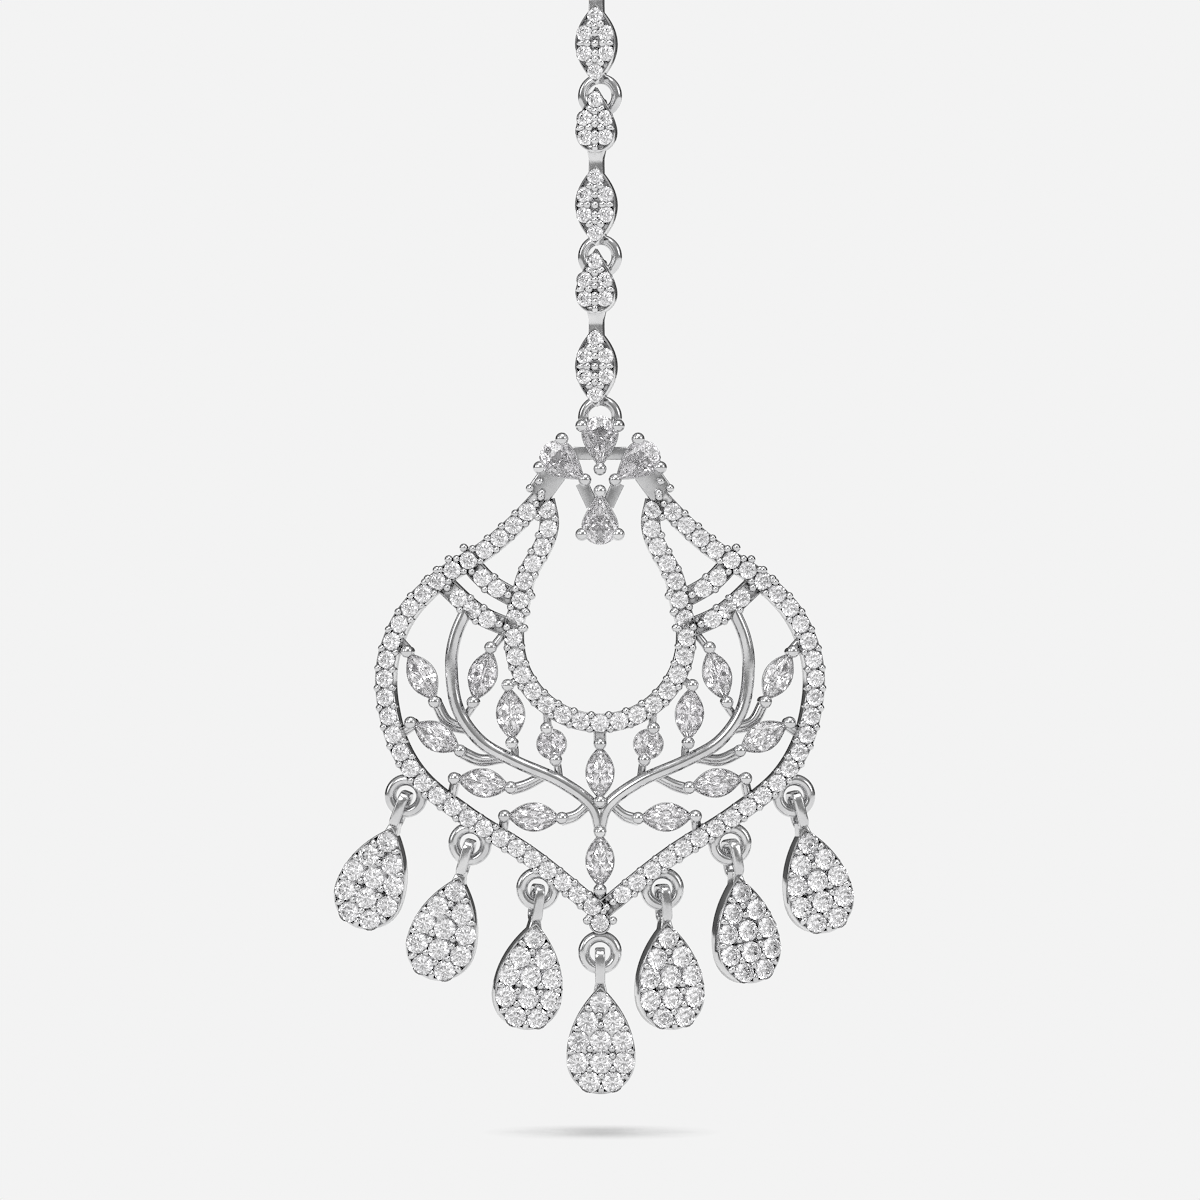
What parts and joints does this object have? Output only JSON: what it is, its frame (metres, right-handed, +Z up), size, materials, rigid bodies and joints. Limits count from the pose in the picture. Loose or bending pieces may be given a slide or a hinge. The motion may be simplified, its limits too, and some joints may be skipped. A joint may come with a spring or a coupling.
{
  "type": "maang tikka with hair hook",
  "caption": "Hanging forehead ornament: a hair hook, a stone-set link chain, an openwork stone-set frame and pear drops.",
  "frame": {"origin": "inside of the hair hook's bend, where the ornament hangs", "axes": "+Z up along the chain, the front with the stones faces -Y, +X to the viewer's right"},
  "size_m": [0.0445, 0.0055, 0.1138],
  "materials": {
    "silver": "polished rhodium-plated silver",
    "stone": "faceted colourless cut stone"
  },
  "bodies": {
    "chain": {"hair_hook": "silver", "chain_unit_1": "silver", "chain_unit_2": "silver", "chain_unit_3": "silver"},
    "pendant": {"frame": "silver", "drop_1": "silver", "drop_2": "silver", "drop_3": "silver", "drop_4": "silver", "drop_5": "silver", "drop_6": "silver", "drop_7": "silver", "pear_top": "stone", "pear_left": "stone", "pear_right": "stone", "pear_bottom": "stone", "marquise_left_1": "stone", "marquise_left_2": "stone", "marquise_left_3": "stone", "marquise_left_4": "stone", "marquise_left_5": "stone", "marquise_left_6": "stone", "marquise_right_1": "stone", "marquise_right_2": "stone", "marquise_right_3": "stone", "marquise_right_4": "stone", "marquise_right_5": "stone", "marquise_right_6": "stone", "marquise_middle_1": "stone", "marquise_middle_2": "stone", "round_left": "stone", "round_right": "stone"}
  },
  "joints": [
    {"name": "pendant_swing", "type": "hinge", "parent": "chain", "child": "pendant", "pos_m": [0, 0, -0.05669], "axis": [1, 0, 0], "range_deg": [-15, 60]}
  ]
}
